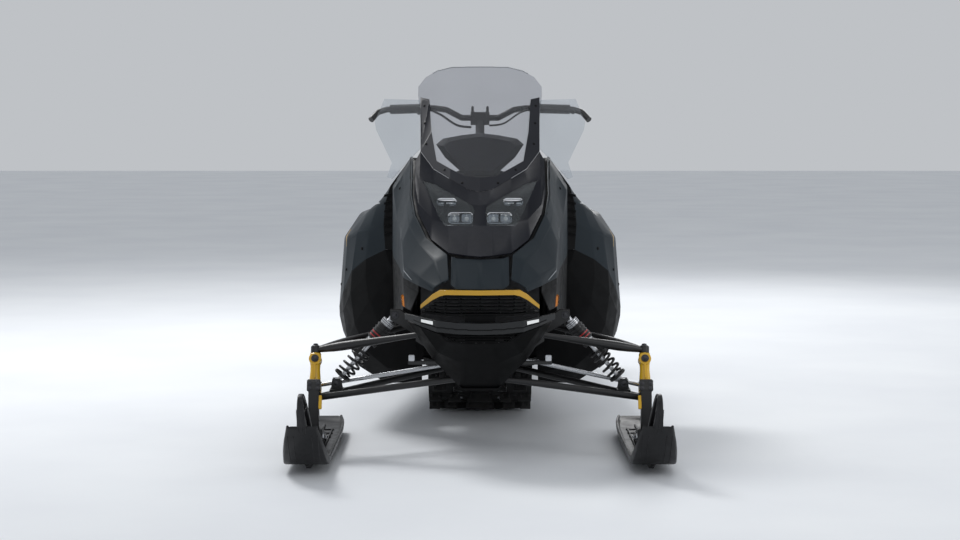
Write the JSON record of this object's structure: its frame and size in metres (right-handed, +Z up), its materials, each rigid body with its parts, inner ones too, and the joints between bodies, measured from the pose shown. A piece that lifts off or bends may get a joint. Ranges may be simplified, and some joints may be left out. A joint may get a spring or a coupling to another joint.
{
  "type": "snowmobile",
  "caption": "Trail snowmobile with two steered skis on A-arm front suspension, a rubber track in a tunnel, faceted hood and side panels, low windshield and a long seat",
  "frame": {"origin": "centre of the bounding box's underside, on the ground", "axes": "+Z up, -Y to the front (ski tips), +X to the rider's left"},
  "size_m": [1.221, 3.1897, 1.276],
  "materials": {
    "slate_panels": "gloss",
    "charcoal_panels": "satin",
    "black_panels": "matt",
    "ski_plastic": "satin",
    "bumper_plastic": "gloss",
    "yellow_paint": "gloss",
    "golden_trim": "gloss",
    "black_paint": "satin",
    "bare_aluminium": "brushed",
    "bright_steel": "brushed",
    "engine_casting": "cast",
    "track_rubber": "matt",
    "wheel_plastic": "satin",
    "smoked_screen": "gloss",
    "clear_screen": "gloss",
    "lamp_lens": "gloss",
    "amber_lens": "gloss",
    "red_lens": "gloss",
    "seat_cover": "matt"
  },
  "bodies": {
    "chassis": {"belly_pan": "black_panels", "bumper_lamps": "lamp_lens", "cowls": "slate_panels", "drive_axle": "bright_steel", "engine_block": "engine_casting", "foot_wells": "black_panels", "frame_gussets": "bare_aluminium", "front_bumper": "bumper_plastic", "front_frame": "black_paint", "front_shocks": "bare_aluminium", "front_springs": "black_paint", "gauge_cowl": "black_panels", "grille": "black_panels", "grille_trim": "golden_trim", "headlight_lenses": "clear_screen", "headlight_mask": "charcoal_panels", "headlight_unit": "black_panels", "hood_centre": "slate_panels", "idler_wheels": "wheel_plastic", "lower_arms": "black_paint", "lower_sides": "black_panels", "marker_lamps": "amber_lens", "nose_bracket": "black_panels", "rear_bumper": "black_paint", "rear_suspension_arms": "black_paint", "running_boards": "bare_aluminium", "seat": "seat_cover", "side_deflectors": "clear_screen", "side_panels": "slate_panels", "side_vents": "black_panels", "slide_rails": "bare_aluminium", "snow_flap": "track_rubber", "tail_lamp": "red_lens", "tank_cover": "black_panels", "track": "track_rubber", "tunnel": "bare_aluminium", "upper_arms": "black_paint", "upper_frame": "black_paint", "windshield": "smoked_screen", "windshield_frame": "charcoal_panels"},
    "handlebar_body": {"handlebar": "black_paint", "grips": "track_rubber", "controls": "black_panels"},
    "knuckle_left": {"spindle_left": "yellow_paint", "ski_leg_left": "black_paint"},
    "knuckle_right": {"spindle_right": "yellow_paint", "ski_leg_right": "black_paint"},
    "ski_left_body": {"ski_left": "ski_plastic"},
    "ski_right_body": {"ski_right": "ski_plastic"},
    "tie_rod_left_body": {"tie_rod_left": "bright_steel"},
    "tie_rod_right_body": {"tie_rod_right": "bright_steel"},
    "swing_arm_body": {"swing_arm": "black_paint"}
  },
  "joints": [
    {"name": "handlebar_turn", "type": "hinge", "parent": "chassis", "child": "handlebar_body", "pos_m": [0, -0.468, 0.72], "axis": [0, 0.5875, 0.8092], "range_deg": [-35, 35]},
    {"name": "knuckle_left_turn", "type": "hinge", "parent": "chassis", "child": "knuckle_left", "pos_m": [0.5385, -1.035, 0.196], "axis": [0, 0.3256, 0.9455], "range_deg": [-28.5, 28.5]},
    {"name": "knuckle_right_turn", "type": "hinge", "parent": "chassis", "child": "knuckle_right", "pos_m": [-0.5385, -1.035, 0.196], "axis": [0, 0.3256, 0.9455], "range_deg": [-28.5, 28.5]},
    {"name": "swing_arm_turn", "type": "hinge", "parent": "chassis", "child": "swing_arm_body", "pos_m": [0, -1.017, 0.35229], "axis": [0, 0.3256, 0.9455], "range_deg": [-28.5, 28.5]},
    {"name": "tie_rod_left_turn", "type": "hinge", "parent": "knuckle_left", "child": "tie_rod_left_body", "pos_m": [0.5385, -0.92244, 0.21573], "axis": [0, 0.3256, 0.9455], "range_deg": [-28.5, 28.5]},
    {"name": "tie_rod_right_turn", "type": "hinge", "parent": "knuckle_right", "child": "tie_rod_right_body", "pos_m": [-0.5385, -0.92244, 0.21573], "axis": [0, 0.3256, 0.9455], "range_deg": [-28.5, 28.5]},
    {"name": "ski_left_rock", "type": "hinge", "parent": "knuckle_left", "child": "ski_left_body", "pos_m": [0.5385, -1.09, 0.071], "axis": [1, 0, 0], "range_deg": [-20, 10]},
    {"name": "ski_right_rock", "type": "hinge", "parent": "knuckle_right", "child": "ski_right_body", "pos_m": [-0.5385, -1.09, 0.071], "axis": [1, 0, 0], "range_deg": [-20, 10]}
  ],
  "couplings": [
    {"joint": "knuckle_left_turn", "follows": "handlebar_turn", "ratio": 0.8},
    {"joint": "knuckle_right_turn", "follows": "handlebar_turn", "ratio": 0.8},
    {"joint": "swing_arm_turn", "follows": "handlebar_turn", "ratio": 0.8},
    {"joint": "tie_rod_left_turn", "follows": "handlebar_turn", "ratio": -0.8},
    {"joint": "tie_rod_right_turn", "follows": "handlebar_turn", "ratio": -0.8}
  ]
}
